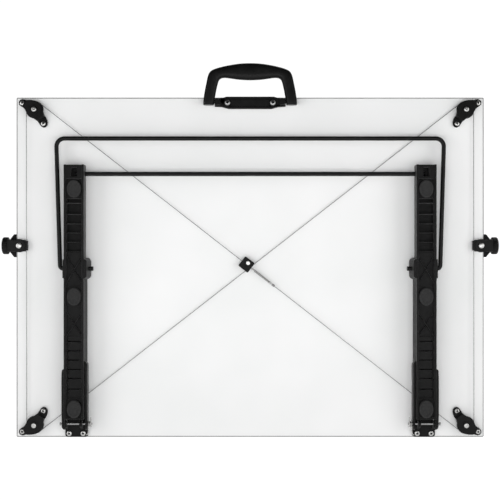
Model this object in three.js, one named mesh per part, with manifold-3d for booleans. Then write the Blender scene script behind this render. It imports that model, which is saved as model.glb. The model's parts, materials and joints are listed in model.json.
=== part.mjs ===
// Portable drawing board with a wire-guided parallel ruler, a carrying handle and a folding stand.
// Millimetres, +Z up. The board stands on its lower long edge: X runs along it, and the back of the
// board, with the stand and the wires, faces -Y. The origin is the middle of the lower edge face.
import * as THREE from 'three';
import { mergeVertices } from 'three/addons/utils/BufferGeometryUtils.js';
import ManifoldModule from 'manifold-3d';

// board
const BOARD_WIDTH = 650;
const BOARD_HEIGHT = 472;
const BOARD_THICKNESS = 18;
const EDGE_BAND = 1.2;
const GAP = 0.3; // clearance between neighbouring pieces

// pulleys, one under a cover in each corner
const PULLEY_X = 298.9;
const PULLEY_Z_LOW = 17.4;
const PULLEY_Z_HIGH = 454.6;
const PULLEY_FLANGE_RADIUS = 12.2;
const PULLEY_GROOVE_RADIUS = 10.5;
const PULLEY_WIDTH = 4;
const PULLEY_BORE_RADIUS = 3.1;
const AXLE_RADIUS = 3;
const UPPER_GROOVE = 5.7; // height off the back of the groove at top left and bottom right
const LOWER_GROOVE = 3.0; // the same at top right and bottom left, so that the diagonals cross clear
const COVER_HEIGHT = 10.3;
const COVER_PAD_HEIGHT = 3.6;
const COVER_ROOF = 2.2;
const COVER_SCREWS = [[-17.4, 9.4], [11.8, -19.2]]; // from the axle, top left corner

// drive wire
const WIRE_RADIUS = 0.5;
const WIRE_TURN_RADIUS = 11.4; // of the wire's centre line around a pulley

// tension block and spring, on the diagonal from top left to bottom right
const BLOCK_SIDE = 16.5;
const BLOCK_THICKNESS = 4.2;
const BLOCK_ALONG = 6.4; // from the board's centre back towards the top left
const SPRING_START = 12.6; // distances along the wire from the block's centre
const SPRING_END = 43.5;
const SPRING_RADIUS = 1.45;
const SPRING_WIRE_RADIUS = 0.35;
const SPRING_TURNS = 11;
const FERRULE = [44.6, 49.2];

// folding stand
const LEG_X = 241.1;
const LEG_WIDTH = 27.4;
const LEG_WALL = 3.2;
const LEG_INNER = 7; // distances off the back
const LEG_OUTER = 30;
const WEB = [21, 23.5];
const DEEP_WEB = [13, 15.5]; // above the prop's stubs
const LEG_TOP = 377.1;
const LEG_BOTTOM = 28;
const FOOT_X = 240.4;
const FOOT_Z = [42.9, 196.3, 343.6];
const FOOT_SIZE = [19.2, 24.4];
const FOOT_TOP = 34;
const HINGE_Z = 20.4;
const HINGE_OUT = 15;
const PIN_RADIUS = 1.5;
const KNUCKLE_RADIUS = 8.3;
const CHEEK_INNER = 7.2;
const HINGE_SCREW_X = [231.7, 251];
const ROD_RADIUS = 3;
const CROSS_ROD_Z = 364.8;
const CROSS_ROD_END = 240.5; // it ends in the pocket at the top of each leg
const ROD_OUT = 15.5;
const BAIL_Z = 234.4;
const BAIL_TOP_Z = 414;
const BAIL_TOP_OUT = 12.2;
const BAIL_TOP_X = 267.4;
const BAIL_LOW_X = 262;
const BAIL_STUB_X = 216.2;

// handle
const HANDLE_PIVOT_Z = 465.6;
const HANDLE_PIVOT_OUT = 8;
const TRUNNION_RADIUS = 2.6;

// parallel ruler
const RULER_Z = 266;
const CLAMP_X = 320.2;
const BLADE_HALF_LENGTH = 294;
const BLADE_HALF_WIDTH = 30;
const SPINE_HALF_WIDTH = 13;
const CAP_HALF_WIDTH = 16.4;
const KNOB_RADIUS = 12;
const KNOB_OUTER_X = 350;
const KNOB_INNER_X = 341.7;

const wasm = await ManifoldModule();
wasm.setup();
const { Manifold, Mesh: ManifoldMesh } = wasm;

const back = (out) => -(BOARD_THICKNESS / 2 + out);
const v3 = (x, y, z) => new THREE.Vector3(x, y, z);

// ---- solids ----

function tidy(geometry) {
  const plain = new THREE.BufferGeometry();
  plain.setAttribute('position', geometry.getAttribute('position').clone());
  if (geometry.index) plain.setIndex(geometry.index.clone());
  const merged = mergeVertices(plain, 1e-4);
  const p = merged.getAttribute('position').array;
  const kept = [];
  let volume = 0;
  for (let i = 0; i < merged.index.count; i += 3) {
    const [a, b, c] = [0, 1, 2].map((k) => merged.index.array[i + k]);
    if (a === b || b === c || c === a) continue;
    kept.push(a, b, c);
    const [A, B, C] = [a, b, c].map((k) => v3(p[3 * k], p[3 * k + 1], p[3 * k + 2]));
    volume += A.dot(B.cross(C)) / 6;
  }
  if (volume < 0) for (let i = 0; i < kept.length; i += 3) [kept[i], kept[i + 1]] = [kept[i + 1], kept[i]];
  merged.setIndex(kept);
  return merged;
}

function solid(geometry) {
  const g = tidy(geometry);
  return new Manifold(new ManifoldMesh({
    numProp: 3,
    vertProperties: new Float32Array(g.getAttribute('position').array),
    triVerts: new Uint32Array(g.index.array),
  }));
}

function toGeometry(body) {
  const m = body.getMesh();
  const g = new THREE.BufferGeometry();
  g.setAttribute('position', new THREE.BufferAttribute(new Float32Array(m.vertProperties), 3));
  g.setIndex(new THREE.BufferAttribute(new Uint32Array(m.triVerts), 1));
  return g;
}

const join = (...bodies) => Manifold.union(bodies.flat());
const hull = (...bodies) => Manifold.hull(bodies);
const mirrored = (body) => body.mirror([1, 0, 0]);

function block(x0, x1, y0, y1, z0, z1) {
  const g = new THREE.BoxGeometry(Math.abs(x1 - x0), Math.abs(y1 - y0), Math.abs(z1 - z0));
  g.translate((x0 + x1) / 2, (y0 + y1) / 2, (z0 + z1) / 2);
  return solid(g);
}

// a block on the back of the board: x range, range of distances off the back, z range
const backBlock = (x0, x1, out0, out1, z0, z1) => block(x0, x1, back(out0), back(out1), z0, z1);

const shapeOf = (points) => new THREE.Shape(points.map(([a, b]) => new THREE.Vector2(a, b)));

// an outline in X and Z, raised off the back from out0 to out1
function backPrism(points, out0, out1, bevel = 0) {
  const g = new THREE.ExtrudeGeometry(shapeOf(points), {
    depth: out1 - out0 - 2 * bevel, bevelEnabled: bevel > 0, bevelThickness: bevel,
    bevelSize: bevel, bevelOffset: -bevel, bevelSegments: 1,
  });
  g.translate(0, 0, bevel);
  g.rotateX(Math.PI / 2);
  g.translate(0, back(out0), 0);
  return solid(g);
}

// an outline given as [distance off the back, z], run along X
function sidePrism(points, x0, x1) {
  const shape = shapeOf(points.map(([out, z]) => [back(out), z]));
  const g = new THREE.ExtrudeGeometry(shape, { depth: x1 - x0, bevelEnabled: false });
  g.applyMatrix4(new THREE.Matrix4().makeBasis(v3(0, 1, 0), v3(0, 0, 1), v3(1, 0, 0)));
  g.translate(x0, 0, 0);
  return solid(g);
}

function rodX(radius, x0, x1, out, z, sides = 16) {
  const g = new THREE.CylinderGeometry(radius, radius, Math.abs(x1 - x0), sides);
  g.rotateZ(Math.PI / 2);
  g.translate((x0 + x1) / 2, back(out), z);
  return solid(g);
}

function rodY(radius, x, z, out0, out1, sides = 16) {
  const g = new THREE.CylinderGeometry(radius, radius, Math.abs(out1 - out0), sides);
  g.translate(x, back((out0 + out1) / 2), z);
  return solid(g);
}

// a turned piece whose profile is [radius, distance off the back], standing on the back at x, z
function turned(profile, x, z, sides) {
  const points = profile.map(([r, out]) => new THREE.Vector2(r, -out));
  const g = new THREE.LatheGeometry(points, sides);
  g.translate(x, -BOARD_THICKNESS / 2, z);
  return solid(g);
}

const ring = (radius, count, from = 0, to = 2 * Math.PI) =>
  Array.from({ length: count }, (_, i) => {
    const a = from + ((to - from) * i) / (count - (to - from > 6.28 ? 0 : 1));
    return [radius * Math.cos(a), radius * Math.sin(a)];
  });

// a run of straight pieces through the given points
class Run extends THREE.Curve {
  constructor(points) {
    super();
    this.points = points;
  }

  getSpacedPoints() {
    return this.points.map((p) => p.clone());
  }

  getTangentAt(u, target = v3(0, 0, 0)) {
    const last = this.points.length - 1;
    const i = Math.round(u * last);
    const before = this.points[Math.max(i - 1, 0)];
    const here = this.points[i];
    const after = this.points[Math.min(i + 1, last)];
    target.set(0, 0, 0);
    if (i > 0) target.add(here.clone().sub(before).normalize());
    if (i < last) target.add(after.clone().sub(here).normalize());
    return target.normalize();
  }
}

function sweep(points, radius, sides) {
  return solid(new THREE.ExtrudeGeometry(shapeOf(ring(radius, sides)), {
    steps: points.length - 1, bevelEnabled: false, extrudePath: new Run(points),
  }));
}

// ---- materials ----

const paint = (color, roughness, metalness = 0, extra = {}) =>
  new THREE.MeshStandardMaterial({ color, roughness, metalness, ...extra });
const WHITE_FACE = paint('#e9ebea', 0.45);
const WHITE_EDGE = paint('#b4b6b6', 0.5);
const BLACK = paint('#202020', 0.5);
const BLACK_ROD = paint('#1a1a1b', 0.35, 0.3);
const RUBBER = paint('#343434', 0.9);
const ZINC = paint('#d2d3d1', 0.3, 1);
const STEEL = paint('#a9abac', 0.35, 1);
const SPINE = paint('#26272a', 0.4, 0.6);
const CLEAR = paint('#dfeaee', 0.08, 0, { transparent: true, opacity: 0.35 });

const board = new THREE.Group();
board.name = 'portable_drawing_board';

function add(name, body, material) {
  const mesh = new THREE.Mesh(toGeometry(body), material);
  mesh.geometry.computeVertexNormals();
  mesh.name = name;
  board.add(mesh);
}

// ---- fasteners ----

const panelHoles = [];

// a pan-head screw driven into the back; seat is how far off the back the head's underside is
function screw(name, x, z, seat, headRadius, headHeight, shankRadius, depth) {
  add(name, turned([
    [0, -depth], [shankRadius, -depth], [shankRadius, seat + GAP], [headRadius, seat + GAP],
    [headRadius, seat + GAP + headHeight * 0.5], [headRadius * 0.62, seat + GAP + headHeight],
    [0, seat + GAP + headHeight],
  ], x, z, 10), ZINC);
  panelHoles.push(rodY(shankRadius + GAP, x, z, 1, -depth - GAP, 8));
}

// ---- corner pulleys ----

const COVER_OUTLINE = [
  [-17.4, 15.1], [-13.6, 14.0], [-9.0, 13.2], [-3.4, 13.0], [-0.2, 12.5], [2.8, 11.7], [5.4, 10.4],
  [7.6, 8.7], [9.5, 6.3], [10.8, 3.6], [11.9, -0.6], [12.5, -4.7], [13.3, -7.8], [15.4, -10.6],
  [16.9, -14.3], [17.6, -18.2], [17.0, -21.6], [14.8, -23.9], [11.6, -24.6], [8.6, -23.0],
  [6.2, -19.4], [3.6, -15.8], [0.6, -13.4], [-2.9, -11.3], [-6.4, -9.2], [-9.3, -6.6], [-11.2, -3.2],
  [-13.2, 0.4], [-16.2, 3.2], [-19.6, 5.1], [-21.9, 7.6], [-22.4, 10.6], [-21.0, 13.4],
];

const corners = [
  { name: 'top_left', x: -1, z: PULLEY_Z_HIGH, up: 1, groove: UPPER_GROOVE },
  { name: 'top_right', x: 1, z: PULLEY_Z_HIGH, up: 1, groove: LOWER_GROOVE },
  { name: 'bottom_left', x: -1, z: PULLEY_Z_LOW, up: -1, groove: LOWER_GROOVE },
  { name: 'bottom_right', x: 1, z: PULLEY_Z_LOW, up: -1, groove: UPPER_GROOVE },
];

for (const c of corners) {
  const cx = c.x * PULLEY_X;
  const place = ([a, b]) => [cx - c.x * a, c.z + c.up * b];
  const outline = COVER_OUTLINE.map(place);
  const roofUnder = COVER_HEIGHT - COVER_ROOF;
  const room = rodY(PULLEY_FLANGE_RADIUS + 0.6, cx, c.z, -1, roofUnder, 24);
  const hump = backPrism(outline, GAP, COVER_HEIGHT).intersect(rodY(16.4, cx, c.z, -1, 20, 20));
  const pads = backPrism(outline, GAP, COVER_PAD_HEIGHT);
  const holes = COVER_SCREWS.map(place).map(([x, z]) => rodY(1.75 + GAP, x, z, -1, 12, 8));
  const axleHole = rodY(AXLE_RADIUS + GAP, cx, c.z, -1, 20, 12);
  add(`cover_${c.name}`, join(hump, pads).subtract(join(room, axleHole, holes)), BLACK);

  const low = c.groove - PULLEY_WIDTH / 2;
  const high = c.groove + PULLEY_WIDTH / 2;
  add(`pulley_${c.name}`, turned([
    [PULLEY_BORE_RADIUS, low], [PULLEY_FLANGE_RADIUS, low], [PULLEY_FLANGE_RADIUS, c.groove - 1.5],
    [PULLEY_GROOVE_RADIUS, c.groove - 0.5], [PULLEY_GROOVE_RADIUS, c.groove + 0.5],
    [PULLEY_FLANGE_RADIUS, c.groove + 1.5], [PULLEY_FLANGE_RADIUS, high],
    [PULLEY_BORE_RADIUS, high], [PULLEY_BORE_RADIUS, low],
  ], cx, c.z, 18), BLACK);

  // a shouldered axle: the collar keeps the pulley at its height
  const collar = c.groove === UPPER_GROOVE ? [GAP, low - GAP] : [high + GAP, roofUnder - GAP];
  const head = COVER_HEIGHT + GAP;
  add(`axle_${c.name}`, turned([
    [0, -13], [AXLE_RADIUS, -13], [AXLE_RADIUS, collar[0]], [5, collar[0]], [5, collar[1]],
    [AXLE_RADIUS, collar[1]], [AXLE_RADIUS, head], [3.6, head], [3.6, head + 1.6], [2.4, head + 2.6],
    [0, head + 2.6],
  ], cx, c.z, 18), ZINC);
  panelHoles.push(rodY(AXLE_RADIUS + GAP, cx, c.z, 1, -13 - GAP, 12));

  COVER_SCREWS.map(place).forEach(([x, z], i) => {
    screw(`cover_screw_${c.name}_${i + 1}`, x, z, COVER_PAD_HEIGHT, 3.3, 2.2, 1.75, 11);
  });
}

// ---- drive wire: a closed figure of eight around the four pulleys ----

const middleZ = (PULLEY_Z_LOW + PULLEY_Z_HIGH) / 2;
const spanX = 2 * PULLEY_X;
const spanZ = PULLEY_Z_HIGH - PULLEY_Z_LOW;
const slope = Math.atan2(spanZ, spanX)
  + Math.asin((2 * WIRE_TURN_RADIUS) / Math.hypot(spanX, spanZ)); // of the diagonals
// a point on the diagonal from top left to bottom right, measured from the board's centre
const onDiagonal = (s) => v3(s * Math.cos(slope), back(UPPER_GROOVE), middleZ - s * Math.sin(slope));

function turn(corner, from, to) {
  const steps = 9;
  return Array.from({ length: steps + 1 }, (_, i) => {
    const a = from + ((to - from) * i) / steps;
    return v3(corner.x * PULLEY_X + WIRE_TURN_RADIUS * Math.cos(a), back(corner.groove),
      corner.z + WIRE_TURN_RADIUS * Math.sin(a));
  });
}

const [topLeft, topRight, bottomLeft, bottomRight] = corners;
const lean = Math.PI / 2 - slope;
add('drive_wire', sweep([
  onDiagonal(-BLOCK_ALONG + 0.2),
  ...turn(bottomRight, Math.PI + lean, 2 * Math.PI),
  ...turn(topRight, 0, Math.PI - lean),
  ...turn(bottomLeft, 2 * Math.PI - lean, Math.PI),
  ...turn(topLeft, Math.PI, lean),
  onDiagonal(-BLOCK_ALONG - 0.2),
], WIRE_RADIUS, 6), STEEL);

// ---- tension block and spring ----

// turn a body made around the origin, along X, to lie on the diagonal at s from the board's centre
function alongDiagonal(body, s) {
  const at = onDiagonal(s);
  return body.rotate([0, (slope * 180) / Math.PI, 0]).translate([at.x, at.y, at.z]);
}

const half = BLOCK_SIDE / 2;
const rounded = (w, h, r, count = 3) => {
  const quarter = (cx, cy, from) => ring(r, count + 1, from, from + Math.PI / 2)
    .map(([a, b]) => [cx + a, cy + b]);
  return [...quarter(w - r, h - r, 0), ...quarter(r - w, h - r, Math.PI / 2),
    ...quarter(r - w, r - h, Math.PI), ...quarter(w - r, r - h, 1.5 * Math.PI)];
};

// an outline in X and Z, run along Y
function slab(points, y0, y1) {
  const g = new THREE.ExtrudeGeometry(shapeOf(points), { depth: y1 - y0, bevelEnabled: false });
  g.rotateX(Math.PI / 2);
  g.translate(0, y1, 0);
  return solid(g);
}

function rodOnY(radius, x, z, y0, y1, sides) {
  const g = new THREE.CylinderGeometry(radius, radius, y1 - y0, sides);
  g.translate(x, (y0 + y1) / 2, z);
  return solid(g);
}

function rodOnX(radius, x0, x1, sides) {
  const g = new THREE.CylinderGeometry(radius, radius, x1 - x0, sides);
  g.rotateZ(Math.PI / 2);
  g.translate((x0 + x1) / 2, 0, 0);
  return solid(g);
}

// the block is pierced along the wire, and its screw sits in a sunk seat off the wire's line
const blockTop = -2.3;
const blockBody = slab(rounded(half, half, 1), blockTop, blockTop + BLOCK_THICKNESS)
  .subtract(rodOnX(0.8, -20, 20, 10))
  .subtract(rodOnY(3.2, 0.6, 2.9, blockTop - 1, blockTop + 1.4, 16));
add('tension_block', alongDiagonal(blockBody, -BLOCK_ALONG), BLACK);

add('tension_screw', alongDiagonal(
  rodOnY(2.8, 0.6, 2.9, blockTop - 0.5, blockTop + 1.1, 14), -BLOCK_ALONG), ZINC);

const coil = Array.from({ length: SPRING_TURNS * 6 + 1 }, (_, i) => {
  const a = (i * Math.PI) / 3;
  const x = SPRING_START + ((SPRING_END - SPRING_START) * i) / (SPRING_TURNS * 6);
  return v3(x, SPRING_RADIUS * Math.cos(a), SPRING_RADIUS * Math.sin(a));
});
add('tension_spring', alongDiagonal(sweep([
  v3(half + 0.7, SPRING_RADIUS, 0), v3(SPRING_START - 1.2, SPRING_RADIUS, 0), ...coil,
], SPRING_WIRE_RADIUS, 4), -BLOCK_ALONG), STEEL);

add('wire_ferrule', alongDiagonal(
  rodOnX(1.6, FERRULE[0], FERRULE[1], 10).subtract(rodOnX(0.85, 30, 60, 10)), -BLOCK_ALONG), STEEL);

// ---- handle ----

const handleBaseHalf = [
  [33, 472.6], [37, 471.3], [48.2, 471.1], [49.2, 458.9], [38.6, 458.3], [30, 455.8],
];
const handleBasePlan = [...handleBaseHalf, ...handleBaseHalf.map(([x, z]) => [-x, z]).reverse()].reverse();
const handleScrewX = 31.4;
const handleScrewZ = 464;
const baseParts = [backPrism(handleBasePlan, GAP, 8, 1)];
for (const s of [-1, 1]) {
  baseParts.push(backBlock(s * 41, s * 48.4, 2, 12.6, 460.4, 469.4));
  baseParts.push(rodX(TRUNNION_RADIUS, s * 45, s * 57, HANDLE_PIVOT_OUT, HANDLE_PIVOT_Z, 12));
}
const baseHoles = [-1, 1].map((s) => rodY(2.1 + GAP, s * handleScrewX, handleScrewZ, -1, 20, 12));
add('handle_base', join(baseParts).subtract(join(baseHoles)), BLACK);
for (const [side, s] of [['left', -1], ['right', 1]]) {
  screw(`handle_screw_${side}`, s * handleScrewX, handleScrewZ, 8, 3.9, 2.4, 2.1, 12);
}

const gripHalf = [
  [0, 518.6], [14, 518.0], [27, 516.1], [38, 513.8], [47.5, 511.2], [53.6, 508.2], [57.6, 503],
  [60.2, 492.5], [62.6, 481.0], [64.5, 470.0], [65.3, 460.8], [50.0, 460.8], [48.8, 470.4],
  [46.7, 482.0], [44.4, 491.6], [42.6, 495.6], [39, 497.9], [34.0, 498.1], [24.0, 496.9],
  [12.0, 495.5], [0, 495],
];
const gripOutline = [...gripHalf, ...gripHalf.slice(1, -1).reverse().map(([x, z]) => [-x, z])];
add('handle_grip', backPrism(gripOutline.reverse(), 1.2, 14.8, 2.4).subtract(join(
  rodX(TRUNNION_RADIUS + GAP, 40, 57.6, HANDLE_PIVOT_OUT, HANDLE_PIVOT_Z, 12),
  rodX(TRUNNION_RADIUS + GAP, -57.6, -40, HANDLE_PIVOT_OUT, HANDLE_PIVOT_Z, 12),
)), BLACK);

// ---- folding stand ----

const innerFace = LEG_X - LEG_WIDTH / 2;
const outerFace = LEG_X + LEG_WIDTH / 2;
const channel = [innerFace + LEG_WALL - 0.2, outerFace - LEG_WALL + 0.2];

// an arc of [out, z] points around the hinge
const aroundHinge = (radius, from, to, count) => ring(radius, count, from, to)
  .map(([a, b]) => [HINGE_OUT + a, HINGE_Z + b]);

// a bar between two [x, z] points in the leg's channel
function brace(x0, z0, x1, z1, width, out0, out1) {
  const length = Math.hypot(x1 - x0, z1 - z0);
  const nx = (-(z1 - z0) / length) * (width / 2);
  const nz = ((x1 - x0) / length) * (width / 2);
  return backPrism([[x0 + nx, z0 + nz], [x0 - nx, z0 - nz], [x1 - nx, z1 - nz], [x1 + nx, z1 + nz]],
    out0, out1);
}

const RIB_Z = [324.5, 309.2, 296.2, 283.7, 270.9, 257.9];
const SLOT_Z = [69.3, 84.0, 96.3, 109.1, 121.7, 134.6]; // slots between raised panels
const SLOT_HALF = 1;
const PANEL_OUTER = 26.6;

// the right leg; the left one is its mirror image
function legBeam() {
  const [c0, c1] = channel;
  const panelEnds = [59, ...SLOT_Z, 142];
  const parts = [
    backBlock(innerFace, innerFace + LEG_WALL, LEG_INNER, LEG_OUTER, LEG_BOTTOM, LEG_TOP),
    backBlock(outerFace - LEG_WALL, outerFace, LEG_INNER, LEG_OUTER, LEG_BOTTOM, LEG_TOP),
    backBlock(c0, c1, WEB[0], WEB[1], LEG_BOTTOM, 257),
    backBlock(c0, c1, DEEP_WEB[0], WEB[1], 255, 257),
    backBlock(c0, c1, DEEP_WEB[0], DEEP_WEB[1], 255, LEG_TOP),
    backBlock(c0, c1, LEG_INNER, LEG_INNER + 2, 50, 257),
    backBlock(c0, c1, LEG_INNER, LEG_OUTER, LEG_TOP - 3, LEG_TOP),
    backBlock(c0, c1, DEEP_WEB[0], LEG_OUTER, 358, LEG_TOP),
    backBlock(c0, c1, WEB[0], LEG_OUTER, LEG_BOTTOM, LEG_BOTTOM + 2.5),
    ...FOOT_Z.map((z) => backBlock(c0, c1, DEEP_WEB[0], 25.7, z - 13, z + 13)),
    ...RIB_Z.map((z) => backBlock(c0, c1, DEEP_WEB[0], 28.2, z - 0.6, z + 0.6)),
    ...panelEnds.slice(1).map((top, i) => backBlock(c0, c1, WEB[0], PANEL_OUTER,
      panelEnds[i] + SLOT_HALF, top - SLOT_HALF)),
    backBlock(LEG_X + 7.6, LEG_X + 8.4, WEB[0], PANEL_OUTER + 0.6, 60, 137),
    brace(c0, 251.3, c1, 215.6, 1.6, WEB[0], 28.2),
    brace(c1, 251.3, c0, 215.6, 1.6, WEB[0], 28.2),
    brace(c0, 174.4, c1, 142.2, 1.6, WEB[0], 28.2),
    brace(c1, 174.4, c0, 142.2, 1.6, WEB[0], 28.2),
  ];
  // cheeks that carry the hinge pin below the channel, and the bosses of the prop
  const cheek = (top) => [
    [CHEEK_INNER, top - 10], [13, top], [22, top], [25, top - 12], [25, 40],
    ...aroundHinge(KNUCKLE_RADIUS, 0.4, -Math.PI, 9),
    [HINGE_OUT - KNUCKLE_RADIUS, 24], [CHEEK_INNER, 34],
  ].reverse();
  const bevelledTop = backPrism([[innerFace - 4, 114], [innerFace - 4, 103], [innerFace, 109]], 0, 31);
  parts.push(sidePrism(cheek(96.4), outerFace - 0.1, outerFace + 4.4));
  parts.push(sidePrism(cheek(109), innerFace - 3, innerFace + 0.5).subtract(bevelledTop));
  parts.push(hull(
    backBlock(innerFace, innerFace + 0.2, 20, 22, 104, BAIL_Z - 12),
    backBlock(innerFace - 2, innerFace + 0.2, LEG_INNER, LEG_INNER + 0.5, 104, BAIL_Z - 12),
  ));
  parts.push(backBlock(outerFace - 0.1, outerFace + 1.8, 10, 29, BAIL_Z - 13, BAIL_Z + 13));
  const bossPlan = (reach, half) => [
    [innerFace + 0.1, BAIL_Z - half], [innerFace - reach * 0.55, BAIL_Z - half * 0.94],
    [innerFace - reach, BAIL_Z - half * 0.65], [innerFace - reach, BAIL_Z + half * 0.65],
    [innerFace - reach * 0.55, BAIL_Z + half * 0.94], [innerFace + 0.1, BAIL_Z + half],
  ];
  parts.push(hull(backPrism(bossPlan(6.8, 15), 3, 4), backPrism(bossPlan(3.6, 13), 28, 29.2)));
  const cuts = [
    backBlock(LEG_X - 4.4, LEG_X + 4.4, DEEP_WEB[1], LEG_OUTER + 1, 360.5, 373.4),
    ...SLOT_Z.map((z) => backBlock(c0 + 2.4, c1 - 0.3, WEB[0] - 1, LEG_OUTER, z - SLOT_HALF, z + SLOT_HALF)),
    backBlock(innerFace + 0.5, innerFace + 1.7, 13, LEG_OUTER + 1, 20, 107),
    rodX(PIN_RADIUS + GAP, 200, 280, HINGE_OUT, HINGE_Z, 12),
    rodX(ROD_RADIUS + GAP, 200, CROSS_ROD_END + GAP, ROD_OUT, CROSS_ROD_Z, 12),
    rodX(ROD_RADIUS + GAP, 200, 280, ROD_OUT, BAIL_Z, 12),
  ];
  return join(parts).subtract(join(cuts));
}

function hingeBracket() {
  const plate = rounded(15.75, 7.1, 3.5, 3).map(([a, b]) => [a + 240.85, b + 7.5]);
  const lug = [[4.2 - 1, 10], ...aroundHinge(5, -Math.PI / 2 - 0.3, Math.PI / 2 + 0.9, 9), [3.2, 14.6]];
  return join(
    backPrism(plate, GAP, 4),
    backBlock(228.4, 254.2, GAP, 4, 7, 35),
    sidePrism(lug, 231.3, 235.0),
    sidePrism(lug, 252.4, 254.3),
  ).subtract(join(
    rodX(PIN_RADIUS + GAP, 200, 280, HINGE_OUT, HINGE_Z, 12),
    ...HINGE_SCREW_X.map((x) => rodY(2 + GAP, x, 5.6, -1, 30, 12)),
  ));
}

function torsionSpring() {
  const r = 3.5;
  const turns = Array.from({ length: 25 }, (_, i) => {
    const a = -Math.PI / 2 - (i * Math.PI) / 4;
    return v3(223.5 - (i * 4.6) / 24, back(HINGE_OUT + r * Math.cos(a)), HINGE_Z + r * Math.sin(a));
  });
  return sweep([
    v3(227.4, back(5.2), 3.4), v3(225.2, back(5.2), 5.2), v3(223.7, back(8), 10.2),
    v3(223.5, back(13), 15.8), ...turns,
    v3(218.8, back(18.2), 18.6), v3(218.8, back(20.6), 30),
  ], 0.7, 5);
}

const legRight = legBeam();
const bracketRight = hingeBracket();
const pinRight = rodX(PIN_RADIUS, 217.6, 262.4, HINGE_OUT, HINGE_Z, 12);
const springRight = torsionSpring();
for (const [side, s] of [['left', -1], ['right', 1]]) {
  const hand = (body) => (s < 0 ? mirrored(body) : body);
  add(`leg_beam_${side}`, hand(legRight), BLACK);
  add(`hinge_bracket_${side}`, hand(bracketRight), BLACK);
  add(`hinge_pin_${side}`, hand(pinRight), ZINC);
  add(`torsion_spring_${side}`, hand(springRight), ZINC);
  ['inner', 'outer'].forEach((name, i) =>
    screw(`hinge_screw_${side}_${name}`, s * HINGE_SCREW_X[i], 5.6, 4, 3.6, 2.2, 2, 12));
  ['lower', 'middle', 'upper'].forEach((name, i) => {
    const oval = ring(1, 20).map(([a, b]) => [
      s * FOOT_X + (a * FOOT_SIZE[0]) / 2, FOOT_Z[i] + (b * FOOT_SIZE[1]) / 2]);
    add(`rubber_foot_${side}_${name}`, backPrism(oval, 26, FOOT_TOP, 0.8), RUBBER);
  });
}

add('cross_rod', rodX(ROD_RADIUS, -CROSS_ROD_END, CROSS_ROD_END, ROD_OUT, CROSS_ROD_Z, 12), BLACK_ROD);

// the prop is one rod bent at six places: stub, arm and crossbar
function propBail() {
  const at = (x, z) => v3(x, back(ROD_OUT
    + ((BAIL_TOP_OUT - ROD_OUT) * (z - BAIL_Z)) / (BAIL_TOP_Z - BAIL_Z)), z);
  const bend = (cx, cz, r, from, to, steps) => Array.from({ length: steps + 1 }, (_, i) => {
    const a = from + ((to - from) * i) / steps;
    return at(cx + r * Math.cos(a), cz + r * Math.sin(a));
  });
  const right = [
    at(BAIL_STUB_X, BAIL_Z),
    ...bend(BAIL_LOW_X - 4.6, BAIL_Z + 4.6, 4.6, -Math.PI / 2, 0, 4),
    ...bend(BAIL_TOP_X - 11, BAIL_TOP_Z - 11, 11, 0, Math.PI / 2, 7),
  ];
  const left = right.map((p) => v3(-p.x, p.y, p.z)).reverse();
  return sweep([...right, ...left], ROD_RADIUS, 12);
}
add('prop_bail', propBail(), BLACK_ROD);

// ---- parallel ruler ----

const front = BOARD_THICKNESS / 2;

// bevelled along both long edges, so that a pencil runs close to the paper
const bladeSection = [
  [front + 0.5, -BLADE_HALF_WIDTH], [front + 1.1, -BLADE_HALF_WIDTH], [front + 2.9, -BLADE_HALF_WIDTH + 7],
  [front + 2.9, BLADE_HALF_WIDTH - 7], [front + 1.1, BLADE_HALF_WIDTH], [front + 0.5, BLADE_HALF_WIDTH],
].map(([y, z]) => [-y - BOARD_THICKNESS / 2, RULER_Z + z]);
add('ruler_blade', sidePrism(bladeSection, -BLADE_HALF_LENGTH, BLADE_HALF_LENGTH), CLEAR);

const spineSection = [
  [front + 3.2, -SPINE_HALF_WIDTH], [front + 5.4, -SPINE_HALF_WIDTH], [front + 9.4, -SPINE_HALF_WIDTH + 5],
  [front + 9.4, SPINE_HALF_WIDTH - 5], [front + 5.4, SPINE_HALF_WIDTH], [front + 3.2, SPINE_HALF_WIDTH],
].map(([y, z]) => [-y - BOARD_THICKNESS / 2, RULER_Z + z]);
add('ruler_spine', sidePrism(spineSection, -299.4, 299.4), SPINE);

// the right head reaches around the board's side edge; its tail grips the wire
function rulerHead() {
  const z = RULER_Z;
  const capPlan = [
    [299.8, z - CAP_HALF_WIDTH], [331.5, z - CAP_HALF_WIDTH], [339.4, z - 8], [339.4, z + 8],
    [331.5, z + CAP_HALF_WIDTH], [299.8, z + CAP_HALF_WIDTH],
  ];
  const tail = [
    [316, z - 8], [311.4, z - 8], [311.4, z - 6.6], [308.4, z - 6.6], [308.4, z + 6.6],
    [311.4, z + 6.6], [311.4, z + 8], [316, z + 8],
  ].reverse();
  const collar = new THREE.CylinderGeometry(11.4, 8.6, 2.8, 20);
  collar.rotateZ(-Math.PI / 2);
  collar.translate(339.9, 0, z);
  const wireX = PULLEY_X + WIRE_TURN_RADIUS;
  return join(
    slab(capPlan, front + 3.2, front + 11),
    block(325.8, 339.4, back(8.2), front + 11, z - 8, z + 8),
    backPrism(tail, GAP + 0.4, 7.6),
    backBlock(316, 326, GAP + 0.4, 8.2, z - 8, z + 8),
    rodY(9.2, CLAMP_X, z, GAP + 0.4, 8.2, 20),
    solid(collar),
  ).subtract(join(
    backBlock(wireX - 0.9, wireX + 0.9, LOWER_GROOVE - 0.9, UPPER_GROOVE + 0.9, z - 20, z + 20),
    rodY(1.9 + GAP, CLAMP_X, z, 2.6, 20, 12),
  ));
}

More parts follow.
